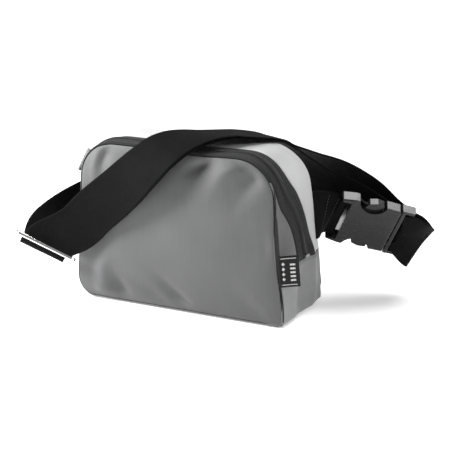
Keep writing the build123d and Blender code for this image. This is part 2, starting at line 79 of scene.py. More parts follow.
class Nodes:
    """A short way to write a node tree."""

    def __init__(self, name):
        self.material = bpy.data.materials.new(name)
        self.material.use_nodes = True
        self.tree = self.material.node_tree
        self.shader = self.tree.nodes["Principled BSDF"]

    def add(self, kind, **values):
        node = self.tree.nodes.new("ShaderNode" + kind)
        for key, value in values.items():
            setattr(node, key, value)
        return node

    def put(self, value, socket):
        if hasattr(value, "is_output"):
            self.tree.links.new(value, socket)
        else:
            socket.default_value = value

    def math(self, operation, *values):
        node = self.add("Math", operation=operation)
        for value, socket in zip(values, node.inputs):
            self.put(value, socket)
        return node.outputs[0]

    def uv(self):
        """Distance across and along the piece, in metres."""
        split = self.add("SeparateXYZ")
        self.put(self.add("UVMap", uv_map="Weave").outputs[0], split.inputs[0])
        return split.outputs[0], split.outputs[1]

    def place(self, scale=(1, 1, 1), flat=False):
        """The point on the piece, stretched: from its map, or from its own coordinates."""
        if flat:
            source = self.add("UVMap", uv_map="Weave").outputs[0]
        else:
            source = self.add("TexCoord").outputs["Object"]
        mapping = self.add("Mapping")
        self.put(source, mapping.inputs[0])
        mapping.inputs["Scale"].default_value = scale
        return mapping.outputs[0]

    def noise(self, scale, stretch=(1, 1, 1), detail=3.0, flat=False):
        node = self.add("TexNoise")
        self.put(self.place(stretch, flat), node.inputs["Vector"])
        node.inputs["Scale"].default_value = scale
        node.inputs["Detail"].default_value = detail
        return node.outputs[0]

    def ridges(self, distance, period):
        """0 to 1 and back every period."""
        angle = self.math("MULTIPLY", distance, 2 * math.pi / period)
        return self.math("MULTIPLY_ADD", self.math("SINE", angle), 0.5, 0.5)

    def ramp(self, value, *stops):
        node = self.add("ValToRGB")
        self.put(value, node.inputs[0])
        marks = node.color_ramp.elements
        while len(marks) < len(stops):
            marks.new(0.5)
        for mark, (at, shade) in zip(marks, stops):
            mark.position = at
            mark.color = (*shade, 1) if isinstance(shade, tuple) else (shade, shade, shade, 1)
        return node.outputs[0]

    def span(self, value, low, high):
        node = self.add("MapRange")
        self.put(value, node.inputs[0])
        node.inputs["To Min"].default_value = low
        node.inputs["To Max"].default_value = high
        return node.outputs[0]

    def bump(self, height, distance, strength=1.0, after=None):
        node = self.add("Bump")
        self.put(height, node.inputs["Height"])
        node.inputs["Distance"].default_value = distance
        node.inputs["Strength"].default_value = strength
        if after is not None:
            self.put(after, node.inputs["Normal"])
        return node.outputs[0]

    def done(self, colour, roughness, normal=None, **fixed):
        self.put(colour, self.shader.inputs["Base Color"])
        self.put(roughness, self.shader.inputs["Roughness"])
        if normal is not None:
            self.put(normal, self.shader.inputs["Normal"])
        for name, value in fixed.items():
            self.shader.inputs[name.replace("_", " ")].default_value = value
        return self.material


def tinted(shade, k):
    return tuple(c * k for c in shade)


def cloth_material(name, shade, yarn=0.00062):
    """Plain-woven polyester: fine yarns, faint streaks along the warp, a slight sheen."""
    n = Nodes(name)
    u, v = n.uv()
    warp, weft = n.ridges(u, yarn), n.ridges(v, yarn * 1.15)
    weave = n.math("MULTIPLY", n.math("SUBTRACT", warp, 0.5), n.math("SUBTRACT", weft, 0.5))
    streaks = n.noise(1.0, (900, 26, 1), 2.0, flat=True)
    slubs = n.noise(1.0, (60, 900, 1), 2.0, flat=True)
    clouds = n.noise(26.0, detail=4.0)
    tone = n.math("ADD", n.math("MULTIPLY", streaks, 0.42), n.math("MULTIPLY", clouds, 0.58))
    tone = n.math("MULTIPLY_ADD", weave, 0.5, tone)
    colour = n.ramp(tone, (0.25, tinted(shade, 0.84)), (0.5, shade), (0.75, tinted(shade, 1.16)))
    height = n.math("MULTIPLY_ADD", weave, 2.0, n.math("ADD", n.math("MULTIPLY", streaks, 0.45),
                                                       n.math("MULTIPLY", slubs, 0.35)))
    rough = n.span(n.noise(180.0), 0.44, 0.58)
    fine = n.bump(height, 0.00011, 0.8)
    soft = n.bump(n.noise(38.0, detail=2.0), 0.0012, 0.35, fine)
    return n.done(colour, rough, soft, Sheen_Weight=0.2, Sheen_Roughness=0.4, Specular_IOR_Level=0.5)


def webbing_material(name, shade):
    """Ribbed polyester webbing in a herringbone weave."""
    n = Nodes(name)
    u, v = n.uv()
    lean = n.math("PINGPONG", u, 0.0019)
    ribs = n.ridges(n.math("MULTIPLY_ADD", lean, 0.55, v), 0.00115)
    warp = n.ridges(u, 0.00095)
    fuzz = n.noise(2400.0, detail=2.0)
    tone = n.math("ADD", n.math("MULTIPLY", ribs, 0.5), n.math("MULTIPLY", fuzz, 0.5))
    patches = n.noise(70.0, detail=3.0)
    tone = n.math("MULTIPLY_ADD", patches, 0.5, tone)
    colour = n.ramp(tone, (0.35, tinted(shade, 0.6)), (0.75, shade), (1.0, tinted(shade, 1.7)))
    height = n.math("ADD", ribs, n.math("MULTIPLY_ADD", warp, 0.7, n.math("MULTIPLY", fuzz, 0.4)))
    rough = n.span(n.noise(300.0), 0.52, 0.72)
    return n.done(colour, rough, n.bump(height, 0.00018, 0.8), Sheen_Weight=0.004, Sheen_Roughness=0.4,
                  Specular_IOR_Level=0.045)


def tape_material(name, shade):
    """Zip tape or binding: narrow chevron rows that run along it."""
    n = Nodes(name)
    u, v = n.uv()
    rows = n.ridges(u, 0.0016)
    lean = n.math("PINGPONG", u, 0.0008)
    twill = n.ridges(n.math("ADD", v, lean), 0.0007)
    fuzz = n.noise(1800.0)
    tone = n.math("ADD", n.math("MULTIPLY", rows, 0.5), n.math("MULTIPLY", fuzz, 0.5))
    colour = n.ramp(tone, (0.2, tinted(shade, 0.6)), (0.55, shade), (0.9, tinted(shade, 1.6)))
    height = n.math("MULTIPLY_ADD", twill, 0.5, rows)
    return n.done(colour, n.span(fuzz, 0.5, 0.7), n.bump(height, 0.00015, 0.8), Sheen_Weight=0.05,
                  Sheen_Roughness=0.5, Specular_IOR_Level=0.16)


def plastic_material(name, shade, rough=0.42, grain=1500.0):
    """Moulded plastic with a fine spark texture and slight handling marks."""
    n = Nodes(name)
    spark = n.noise(grain, detail=3.0)
    marks = n.noise(60.0, (1, 1, 3), 4.0)
    colour = n.ramp(n.math("ADD", n.math("MULTIPLY", spark, 0.4), n.math("MULTIPLY", marks, 0.6)),
                    (0.3, tinted(shade, 0.82)), (0.55, shade), (0.8, tinted(shade, 1.25)))
    return n.done(colour, n.span(marks, rough - 0.08, rough + 0.1), n.bump(spark, 0.00006, 0.6),
                  Specular_IOR_Level=0.4)


def metal_material(name, shade, rough):
    """Plated metal with faint polishing lines and duller patches."""
    n = Nodes(name)
    lines = n.noise(1200.0, (1, 1, 0.04), 2.0)
    patches = n.noise(160.0, detail=4.0)
    colour = n.ramp(patches, (0.3, tinted(shade, 0.86)), (0.7, shade))
    roughness = n.math("ADD", n.span(patches, rough * 0.7, rough * 1.3), n.span(lines, 0.0, 0.06))
    return n.done(colour, roughness, n.bump(lines, 0.00002, 0.5), Metallic=1.0)


def pull_material(name, shade):
    """A short textile tab, coarsely woven."""
    n = Nodes(name)
    split = n.add("SeparateXYZ")
    n.put(n.place(), split.inputs[0])
    rows = n.ridges(n.math("MULTIPLY_ADD", split.outputs[1], 0.6, split.outputs[2]), 0.0013)
    yarn = n.ridges(n.math("SUBTRACT", split.outputs[1], n.math("MULTIPLY", split.outputs[2], 0.4)), 0.0011)
    weave = n.math("MULTIPLY", rows, yarn)
    colour = n.ramp(n.math("MULTIPLY_ADD", n.noise(2600.0), 0.4, weave), (0.1, tinted(shade, 0.45)),
                    (0.5, shade), (1.0, tinted(shade, 1.8)))
    return n.done(colour, n.span(weave, 0.5, 0.75), n.bump(weave, 0.0002, 0.9), Sheen_Weight=0.1,
                  Specular_IOR_Level=0.3)


def thread_material(name, shade):
    """Twisted sewing thread."""
    n = Nodes(name)
    twist = n.noise(4000.0, (1, 1, 0.3), 2.0)
    return n.done(n.ramp(twist, (0.3, tinted(shade, 0.7)), (0.7, tinted(shade, 1.3))),
                  n.span(twist, 0.45, 0.65), n.bump(twist, 0.00008))


FRONT_CLOTH = cloth_material("front_cloth", (0.075, 0.0755, 0.0768))
SIDE_CLOTH = cloth_material("side_cloth", (0.155, 0.156, 0.158))
REAR_CLOTH = cloth_material("rear_cloth", (0.42, 0.421, 0.424))
WEBBING = webbing_material("belt_webbing", (0.0036, 0.0036, 0.0038))
ZIP_TAPE = tape_material("zip_tape", (0.009, 0.009, 0.0094))
ZIP_EDGE = tape_material("zip_edge_tape", (0.026, 0.026, 0.027))
# Dark tape for the real binding parts, and also the colour of the dark lines sunk in the seams, which are
# painted shade.
BINDING_AND_SEAM_SHADE = tape_material("seam_binding_and_seam_shade", (0.010, 0.010, 0.0105))
COIL = plastic_material("zip_coil_nylon", (0.016, 0.016, 0.0165), 0.42, 2500.0)
BUCKLE = plastic_material("buckle_acetal", (0.013, 0.013, 0.0135), 0.26)
PRONG = plastic_material("prong_acetal", (0.013, 0.013, 0.0135), 0.20)
SLIDER_METAL = metal_material("dark_nickel", (0.30, 0.30, 0.31), 0.30)
BRIGHT_METAL = metal_material("bright_nickel", (0.86, 0.85, 0.84), 0.13)
PULL = pull_material("pull_webbing", (0.16, 0.16, 0.162))
GREY_THREAD = thread_material("grey_thread", (0.060, 0.060, 0.061))
BLACK_THREAD = thread_material("black_thread", (0.020, 0.020, 0.020))
LABEL = tape_material("label_ground", (0.012, 0.012, 0.012))
LABEL_MARK = tape_material("label_mark", (0.55, 0.55, 0.54))


# --- Meshes ---

def piece(name, points, faces, material, body, stands_for=(), uvs=None):
    """A mesh object from points in millimetres, riding on a body."""
    mesh = bpy.data.meshes.new(name)
    mesh.from_pydata([tuple(c * MM for c in p) for p in points], [], faces)
    if uvs is not None:
        layer = mesh.uv_layers.new(name="Weave")
        for loop in mesh.loops:
            layer.data[loop.index].uv = [c * MM for c in uvs[loop.vertex_index]]
    mesh.polygons.foreach_set("use_smooth", [True] * len(mesh.polygons))
    mesh.materials.append(material)
    mesh.validate()
    obj = bpy.data.objects.new(name, mesh)
    bpy.context.scene.collection.objects.link(obj)
    if body:
        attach(obj, body)
    if stands_for:
        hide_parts(*stands_for)
    return obj


def grid_faces(rows, columns, start=0, closed=False):
    faces = []
    for i in range(rows - 1):
        for j in range(columns if closed else columns - 1):
            k = (j + 1) % columns
            a, b = start + i * columns, start + (i + 1) * columns
            faces.append((a + j, a + k, b + k, b + j))
    return faces


def end_faces(rings, sides, start=0):
    """The two faces that close a tube of rings."""
    last = start + (rings - 1) * sides
    return [tuple(start + k for k in range(sides))[::-1], tuple(last + k for k in range(sides))]


def solid_sheet(name, rows, material, stands_for, uvs):
    """A closed thin solid on the pouch, from a grid of (point, outward direction)."""
    count, columns = len(rows), len(rows[0])
    outer = [p for row in rows for p, _ in row]
    inner = [p - d * CLOTH_THICK for row in rows for p, d in row]
    faces = [f[::-1] for f in grid_faces(count, columns)]
    half = count * columns
    faces += grid_faces(count, columns, half)
    rim = list(range(columns)) + [i * columns + columns - 1 for i in range(1, count)]
    rim += [(count - 1) * columns + j for j in range(columns - 2, -1, -1)]
    rim += [i * columns for i in range(count - 2, 0, -1)]
    for a, b in zip(rim, rim[1:] + rim[:1]):
        faces.append((a, b, b + half, a + half))
    return piece(name, outer + inner, faces, material, "pouch", stands_for, uvs + uvs)


def smoothstep(x):
    x = min(max(x, 0.0), 1.0)
    return x * x * (3 - 2 * x)


def spread(count, low=0.0, high=1.0, ends=0.5):
    """count + 1 numbers from low to high, closer together near both ends."""
    out = []
    for i in range(count + 1):
        t = i / count
        out.append(low + (high - low) * ((1 - ends) * t + ends * (1 - math.cos(math.pi * t)) / 2))
    return out


# --- The pouch's outline ---

LOW = (WIDTH / 2 - BOTTOM_RADIUS, BOTTOM_RADIUS)
HIGH = (SHOULDER_WIDTH / 2 - TOP_RADIUS, HEIGHT - TOP_RADIUS)
RUN, RISE = HIGH[0] - LOW[0], HIGH[1] - LOW[1]
LEAN = math.asin((BOTTOM_RADIUS - TOP_RADIUS) / math.hypot(RUN, RISE)) + math.atan2(-RUN, RISE)
BOTTOM_RUN = LOW[0]
LOW_ARC = BOTTOM_RADIUS * (LEAN + math.pi / 2)
SIDE_RUN = math.sqrt(RUN**2 + RISE**2 - (BOTTOM_RADIUS - TOP_RADIUS)**2)
HIGH_ARC = TOP_RADIUS * (math.pi / 2 - LEAN)
HALF_LENGTH = BOTTOM_RUN + LOW_ARC + SIDE_RUN + HIGH_ARC + HIGH[0]


def on_outline(s):
    """(x, z) and the outward direction, s millimetres round from the bottom's middle towards +x."""
    side = 1 if s >= 0 else -1
    s = abs(s)
    if s <= BOTTOM_RUN:
        x, z, nx, nz = s, 0.0, 0.0, -1.0
    elif s <= BOTTOM_RUN + LOW_ARC:
        a = -math.pi / 2 + (s - BOTTOM_RUN) / BOTTOM_RADIUS
        nx, nz = math.cos(a), math.sin(a)
        x, z = LOW[0] + BOTTOM_RADIUS * nx, LOW[1] + BOTTOM_RADIUS * nz
    elif s <= BOTTOM_RUN + LOW_ARC + SIDE_RUN:
        nx, nz = math.cos(LEAN), math.sin(LEAN)
        t = s - BOTTOM_RUN - LOW_ARC
        x = LOW[0] + BOTTOM_RADIUS * nx - t * nz
        z = LOW[1] + BOTTOM_RADIUS * nz + t * nx
    elif s <= BOTTOM_RUN + LOW_ARC + SIDE_RUN + HIGH_ARC:
        a = LEAN + (s - BOTTOM_RUN - LOW_ARC - SIDE_RUN) / TOP_RADIUS
        nx, nz = math.cos(a), math.sin(a)
        x, z = HIGH[0] + TOP_RADIUS * nx, HIGH[1] + TOP_RADIUS * nz
    else:
        x, z, nx, nz = max(HALF_LENGTH - s, 0.0), HEIGHT, 0.0, 1.0
    return side * x, z, side * nx, nz


def wrapped(s):
    """The same place on the outline, for a distance that goes on past the top's middle."""
    return s if s <= HALF_LENGTH else s - 2 * HALF_LENGTH


def outline_at_height(z):
    """How far round the outline lies at a height on its sides."""
    low, high = 0.0, HALF_LENGTH
    for _ in range(40):
        middle = (low + high) / 2
        if on_outline(middle)[1] < z:
            low = middle
        else:
            high = middle
    return low


SEAM_S = outline_at_height(SEAM_Z)


def circle_through(a, b, c):
    """The middle and radius of the circle through three points."""
    (y1, z1), (y2, z2), (y3, z3) = a, b, c
    p = 2 * (y2 - y1), 2 * (z2 - z1), y2**2 + z2**2 - y1**2 - z1**2
    q = 2 * (y3 - y1), 2 * (z3 - z1), y3**2 + z3**2 - y1**2 - z1**2
    det = p[0] * q[1] - q[0] * p[1]
    cy, cz = (p[2] * q[1] - q[2] * p[1]) / det, (p[0] * q[2] - q[0] * p[2]) / det
    return cy, cz, math.hypot(y1 - cy, z1 - cz)


BACK_CIRCLE = circle_through((DEPTH / 2, 0), (MID_BACK_Y, HEIGHT / 2), (FRONT_Y + TOP_DEPTH, HEIGHT))


def front_y(z):
    return FRONT_Y


def back_y(z):
    """Where the gently bowed back panel lies at a height."""
    cy, cz, r = BACK_CIRCLE
    return cy + math.sqrt(r**2 - (z - cz)**2)


def band_y(z, offset):
    """Where a line along the zip band lies at a height, offset back from the band's middle."""
    y = FRONT_Y + BAND_WIDTH / 2
    bend, back = BAND_BEND_RADIUS - offset, BAND_RETURN_RADIUS + offset
    drop = BAND_BEND_TOP_Z - z
    if drop <= 0:
        return y + offset
    if drop <= bend * math.sin(BAND_LEAN):
        return y + BAND_BEND_RADIUS - math.sqrt(bend**2 - drop**2)
    y += BAND_BEND_RADIUS - bend * math.cos(BAND_LEAN)
    drop -= bend * math.sin(BAND_LEAN)
    rise = math.sin(BAND_LEAN) - drop / back
    if rise >= math.sin(BAND_FOOT_LEAN):
        return y + back * (math.sqrt(1 - rise**2) - math.cos(BAND_LEAN))
    y += back * (math.cos(BAND_FOOT_LEAN) - math.cos(BAND_LEAN))
    return y + (drop - back * (math.sin(BAND_LEAN) - math.sin(BAND_FOOT_LEAN))) * math.tan(BAND_FOOT_LEAN)


# --- How the pouch's cloth lies ---

def seam_sink(distance):
    """How far below its surface cloth lies at a distance from a seam."""
    t = min(max(distance / SEAM_ROLL, 0.0), 1.0)
    return SEAM_SINK * (1 - math.sqrt(1 - (1 - t)**2))


def slow(x, y, z, size, seed):
    return noise.noise(Vector((x / size + seed, y / size - seed, z / size + 2 * seed)))


def valley(x, z, at, towards, width, length):
    """A soft dent, 0 to 1, that starts at a point and runs a length in one direction."""
    dx, dz = x - at[0], z - at[1]
    along = dx * towards[0] + dz * towards[1]
    off = dx * towards[1] - dz * towards[0]
    fade = smoothstep(1 - along / length) * smoothstep(1 + along / 8)
    return math.exp(-(off / width)**2) * fade


# Folds in the front panel: height (below 0 for a dent), start (x, z), direction, width, length
FRONT_FOLDS = [(-5.0, (31, 128), (-0.75, -0.66), 5.5, 34), (4.6, (50, 124), (-0.55, -0.83), 9, 60),
               (-3.4, (70, 116), (-0.60, -0.80), 8, 46), (-4.4, (-60, 128), (-0.10, -1), 5, 34),
               (1.8, (-72, 120), (0.05, -1), 5, 42), (-2.0, (-10, 128), (-0.20, -1), 7, 40),
               (-2.0, (84, 62), (-0.95, -0.3), 10, 54), (3.6, (-66, 5), (0.10, 1), 8, 54),
               (-3.6, (-46, 4), (-0.45, 0.89), 5, 38), (-4.6, (8, 5), (-0.74, 0.67), 5.5, 50),
               (-2.0, (-12, 4), (-0.78, 0.62), 5, 38), (-1.3, (70, 6), (-0.7, 0.7), 7, 42)]


def front_bulge(x, z, edge):
    """How far the front panel stands out, edge millimetres in from its seam."""
    folds = 1.1 * slow(x, 0, z, 38, 3.1)
    for height, start, towards, width, length in FRONT_FOLDS:
        folds += height * valley(x, z, start, towards, width, length)
    crown = 2.6 * smoothstep(edge / 50) + 3.0 * (1 - math.exp(-edge / 9))
    return folds * smoothstep(edge / 11) + crown


def bell(x, middle, width):
    return math.exp(-((x - middle) / width)**2)


def wall_bulge(x, y, z, nx):
    """How far the walls round the pouch stand out from the plain shape."""
    out = 0.55 * slow(x, y, z, 30, 9.4)
    out -= 1.8 * bell(x, 16, 38) * smoothstep((z - 100) / 25) * smoothstep((4 - y) / 30)
    side = smoothstep(abs(nx) * 1.4 - 0.3)
    fold = bell(y, 19 + 0.10 * (z - 40), 5.5) * smoothstep(z / 16) * smoothstep((70 - z) / 30)
    crease = bell(y, 0.25 * z - 8, 7) * smoothstep(z / 12) * smoothstep((44 - z) / 22)
    hollow = bell(y, 30, 9) * bell(z, 12, 12)
    out += side * (3.0 * fold - 3.0 * crease - 1.5 * hollow)
    if x > 0:
        out -= side * 3.0 * bell(z, 60, 27) * smoothstep((-12 - y) / 20)
        out += square_corner(x, z)
    return out


def square_corner(x, z):
    """How far the buckle side's bottom corner is pushed out from a round one."""
    dx, dz = x - LOW[0], LOW[1] - z
    if dx <= 0 or dz <= 0:
        return 0.0
    far = math.hypot(dx, dz)
    power = 9
    return BOTTOM_RADIUS * (((dx / far)**power + (dz / far)**power)**(-1 / power) - 1)


def wall_point(s, y, sink):
    """A point on the walls, s round the outline and sink below their surface, and the way out."""
    x, z, nx, nz = on_outline(s)
    out = wall_bulge(x, y, z, nx) - sink
    if nz < UNDERSIDE:
        out = square_corner(x, z) * (x > 0) - sink * 0.6
    return Vector((x + nx * out, y, z + nz * out)), Vector((nx, 0, nz))


def wall_strip(name, s_values, near, far, columns, material, stands_for, seams=ALL_SEWN, lift=0.0,
               warp_round=True):
    """Cloth round the outline between two lines, turned in along the sides named in seams:
    near, far, first end, last end. Its warp runs round the outline, or front to back."""
    rows, uvs = [], []
    first, last = s_values[0], s_values[-1]
    for s in s_values:
        z = on_outline(wrapped(s))[1]
        a, b = near(z), far(z)
        row = []
        for t in spread(columns, ends=0.6):
            y = a + (b - a) * t
            gaps = [y - a, b - y, s - first, last - s]
            sink = max([seam_sink(g) for g, sewn in zip(gaps, seams) if sewn])
            sink *= smoothstep((b - a) / 3)
            row.append(wall_point(wrapped(s), y, sink - lift))
            uvs.append((s, y) if warp_round else (y, s))
        rows.append(row)
    return solid_sheet(name, rows, material, stands_for, uvs)


def even(low, high, step):
    count = max(2, round(abs(high - low) / step))
    return [low + (high - low) * i / count for i in range(count + 1)]


def crowded(low, high, step, edge=5.0):
    """Even steps, with finer ones near both ends."""
    return (even(low, low + edge, 0.7)[:-1] + even(low + edge, high - edge, step)
            + even(high - edge, high, 0.7)[1:])


def nearest_side(x, z):
    """How far a point inside the outline is from it, and the direction out to it."""
    side = 1 if x >= 0 else -1
    ax = abs(x)
    nx, nz = math.cos(LEAN), math.sin(LEAN)
    dx, dz = ax - HIGH[0], z - HIGH[1]
    if dx * nz - dz * nx < 0 and dx > 0:
        far = max(math.hypot(dx, dz), 1e-6)
        return TOP_RADIUS - far, side * dx / far, dz / far
    ex, ez = ax - LOW[0], z - LOW[1]
    if ex > 0 and ex * nz - ez * nx > 0:
        far = max(math.hypot(ex, ez), 1e-6)
        return BOTTOM_RADIUS - far, side * ex / far, ez / far
    to_side = TOP_RADIUS - (dx * nx + dz * nz)
    return min((to_side, side * nx, nz), (z, 0.0, -1.0), (HEIGHT - z, 0.0, 1.0))


def half_width(z):
    """Half of the outline's width at a height."""
    if 0 < z < HEIGHT:
        return abs(on_outline(outline_at_height(z))[0])
    return LOW[0] if z <= 0 else HIGH[0]


def panel_point(x, z, y_at, sign):
    """A point on the front panel (sign -1) or the back one (sign 1)."""
    edge, nx, nz = nearest_side(x, z)
    edge = max(edge, 0.0)
    at_rim = 1 - smoothstep(edge / PANEL_RIM)
    shift = -SEAM_SINK * 0.75
    if nz > UNDERSIDE:
        shift += wall_bulge(x, y_at(z), z, nx)
    elif x > 0:
        shift += square_corner(x, z)
    stand = front_bulge(x, z, edge) if sign < 0 else 2.2 * smoothstep(edge / 40)
    y = y_at(z) + sign * (stand - seam_sink(edge))
    return Vector((x + nx * shift * at_rim, y, z + nz * shift * at_rim))


def flat_panel(name, y_at, sign, material, node):
    """A D-shaped panel, turned in at its seam; sign is -1 for the front."""
    inner = [HEIGHT * (1 - math.cos(math.pi * t)) / 2 for t in even(0.02, 0.98, 0.016)]
    across = [math.sin(math.pi / 2 * t) for t in even(-1, 1, 0.024)][::-sign]
    rows, uvs = [], []
    for z in [HEIGHT] + inner[::-1] + [0.0]:
        half = half_width(z)
        rows.append([(panel_point(half * u, z, y_at, sign), Vector((0, sign, 0))) for u in across])
        uvs += [(half * u, z) for u in across]
    return solid_sheet(name, rows, material, (node,), uvs)


def seam_line(name, points, radius, material, closed=False):
    """A thin dark line sunk in a seam: made in the binding material, it is painted shade in the seam's
    groove. radius is one number, or one for each point.
    """
    verts = []
    count = len(points)
    radii = radius if isinstance(radius, list) else [radius] * count
    for i, p in enumerate(points):
        before = points[i - 1] if i or closed else p
        after = points[(i + 1) % count] if i < count - 1 or closed else p
        along = (after - before).normalized()
        side = along.cross(Vector((0.3, 0.2, 0.93))).normalized()
        up = along.cross(side)
        for k in range(TUBE_SIDES):
            a = 2 * math.pi * k / TUBE_SIDES
            verts.append(p + side * (radii[i] * math.cos(a)) + up * (radii[i] * math.sin(a)))
    faces = grid_faces(count, TUBE_SIDES, closed=True)
    if closed:
        last = (count - 1) * TUBE_SIDES
        for k in range(TUBE_SIDES):
            m = (k + 1) % TUBE_SIDES
            faces.append((last + k, last + m, m, k))
    else:
        faces += end_faces(count, TUBE_SIDES)
    uvs = [(k, i) for i in range(count) for k in range(TUBE_SIDES)]
    return piece(name, verts, faces, material, "pouch", (), uvs)


# A thread's profile: how far along it, how thick and how high, as parts of its length and radius
THREAD = ((-0.5, 0.25, -0.5), (-0.36, 0.85, 0.2), (-0.12, 1, 0.75), (0.12, 1, 0.75), (0.36, 0.85, 0.2),
          (0.5, 0.25, -0.5))


def stitches(name, places, length, radius, material):
    """Short raised threads, each from (middle, direction along, direction out)."""
    verts, faces, uvs = [], [], []
    for middle, along, out in places:
        side = along.cross(out).normalized()
        start = len(verts)
        for t, r, h in THREAD:
            for k in range(TUBE_SIDES):
                a = 2 * math.pi * k / TUBE_SIDES
                p = middle + along * (length * t) + out * (radius * (h + r * math.sin(a)))
                verts.append(p + side * (radius * r * math.cos(a)))
                uvs.append((k, t * length))
        faces += grid_faces(len(THREAD), TUBE_SIDES, start, closed=True)
        faces += end_faces(len(THREAD), TUBE_SIDES, start)
    return piece(name, verts, faces, material, "pouch", (), uvs)


# --- Pouch ---

def make_pouch():
    half = BAND_WIDTH / 2
    seam, top = SEAM_S, outline_at_height(WEDGE_TOP_Z)
    flat_panel("front_panel_cloth", front_y, -1, FRONT_CLOTH, "front_panel")
    flat_panel("back_panel_cloth", back_y, 1, REAR_CLOTH, "back_panel")
    wall_strip("bottom_gusset_cloth", crowded(-seam, seam, 2.6), front_y, back_y, 26, SIDE_CLOTH,
               ("bottom_gusset",))
    round_top = crowded(seam, 2 * HALF_LENGTH - seam, 2.2)
    wall_strip("rear_gusset_cloth", round_top, lambda z: band_y(z, half), back_y, 18, REAR_CLOTH,
               ("rear_gusset",), warp_round=False)
    for side, word in ((1, "right"), (-1, "left")):
        ends = crowded(seam, top, 2.2) if side > 0 else crowded(-top, -seam, 2.2)
        sewn = (True, True, side > 0, side < 0)
        wall_strip(f"side_wedge_{word}_cloth", ends, front_y,
                   lambda z: max(band_y(z, -half), FRONT_Y + 0.4), 12, FRONT_CLOTH,
                   (f"side_wedge_{word}",), sewn)
    seam_lines(half)
    make_zip(round_top, half)


def seam_lines(half):
    """The dark lines of the seams round the pouch: painted shade, dark tubes sunk in the seams' grooves."""
    deep = SEAM_SINK * 0.55
    around = even(-HALF_LENGTH, HALF_LENGTH, 2.6)[:-1]
    line, radii = [], []
    for s in around:
        open_side = smoothstep((s - BOTTOM_RUN) / 12)
        hidden = smoothstep((-s - BOTTOM_RUN + 20) / 16) * smoothstep((s + HALF_LENGTH - 40) / 16)
        line.append(wall_point(s, FRONT_Y + 0.9, deep + 0.25 - 0.1 * open_side + 1.4 * hidden)[0])
        radii.append(0.42 + 0.28 * open_side)
    # A dark tube sunk in the front seam: painted shade in the seam's groove.
    seam_line("front_seam_painted_shade", line, radii, BINDING_AND_SEAM_SHADE, True)
    # A dark tube sunk in the back seam: painted shade in the seam's groove.
    line = [wall_point(s, back_y(on_outline(s)[1]) - 0.9, deep + 0.55)[0] for s in around]
    seam_line("back_seam_painted_shade", line, 0.45, BINDING_AND_SEAM_SHADE, True)
    for side, word in ((1, "right"), (-1, "left")):
        # A dark tube sunk in the side seam: painted shade in the seam's groove.
        line = [wall_point(side * SEAM_S, y, deep + 0.3)[0] for y in even(FRONT_Y, back_y(SEAM_Z), 2.0)]
        seam_line(f"side_seam_painted_shade_{word}", line, 0.5, BINDING_AND_SEAM_SHADE)
        side_topstitch(side, word, half)


def side_topstitch(side, word, half):
    """The row of stitches below the side seam, from the zip to the back."""
    below = 2.3
    places = []
    s = side * (SEAM_S - below)
    for y in even(band_y(SEAM_Z, -half) + 1, back_y(SEAM_Z) - 2, 3.0)[:-1]:
        a, out = wall_point(s, y, seam_sink(below))
        b, _ = wall_point(s, y + 1.5, seam_sink(below))
        places.append((a, (b - a).normalized(), out))
    stitches(f"side_topstitch_{word}", places, 2.1, 0.22, GREY_THREAD)


# --- Zip ---

def make_zip(values, half):
    """The two tapes with their ribs and the dark lines of painted shade in their seams, and the two rows of
    teeth between them.
    """
    inner = even(values[0], values[-1], 2.2)
    wall_strip("zip_tape_front_cloth", inner, lambda z: band_y(z, -half), lambda z: band_y(z, -ZIP_GAP), 10,
               ZIP_TAPE, ("zip_tape_front",), (True, False, True, True), TAPE_LIFT, False)
    wall_strip("zip_tape_rear_cloth", inner, lambda z: band_y(z, ZIP_GAP), lambda z: band_y(z, half), 10,
               ZIP_TAPE, ("zip_tape_rear",), (False, True, True, True), TAPE_LIFT, False)
    for side, word in ((-1, "front"), (1, "rear")):
        teeth(word, side, values)
        for offset, radius in ZIP_RIBS:
            line = band_line(inner[1:-1], side * offset, -0.15)
            seam_line(f"zip_rib_{word}_{round(offset)}", line, radius, ZIP_EDGE)
        # A dark line sunk where each tape is sewn on: painted shade in the seam.
        line = band_line(inner, side * (half - 0.2), SEAM_SINK * 0.8)
        seam_line(f"zip_seam_painted_shade_{word}", line, 0.5, BINDING_AND_SEAM_SHADE)


def band_line(values, offset, sink):
    """Points along the zip band, offset back from its middle."""
    places = [wrapped(s) for s in values]
    return [wall_point(s, band_y(on_outline(s)[1], offset), sink)[0] for s in places]


# One tooth: how far each ring of it is from the band's middle, and how high
TOOTH = ((3.1, 0.15), (2.7, 0.75), (1.9, 1.15), (0.9, 1.3), (0.0, 1.35), (-0.55, 1.1), (-0.75, 0.7))


def teeth(word, side, values):
    """One row of the coil: a bent tooth every pitch, its head reaching over the middle."""
    verts, faces, uvs = [], [], []
    low, high = values[0] + COIL_ENDS, values[-1] - COIL_ENDS
    for i in range(int((high - low) / COIL_PITCH)):
        s = low + (i + (0.5 if side > 0 else 0.0)) * COIL_PITCH
        z = on_outline(wrapped(s))[1]
        start = len(verts)
        for reach, height in TOOTH:
            y = band_y(z, side * reach)
            fat = 0.48 if reach > 0 else 0.60
            for k in range(TUBE_SIDES):
                a = 2 * math.pi * k / TUBE_SIDES
                spot = wrapped(s + fat * math.cos(a))
                verts.append(wall_point(spot, y, -height - COIL_WIRE * math.sin(a))[0])
                uvs.append((reach, s))
        faces += grid_faces(len(TOOTH), TUBE_SIDES, start, closed=True)
        faces += end_faces(len(TOOTH), TUBE_SIDES, start)
    return piece(f"zip_teeth_{word}", verts, faces, COIL, "pouch", (f"zip_coil_{word}",), uvs)


# --- Belt ---

def unit(*v):
    return Vector(v).normalized()


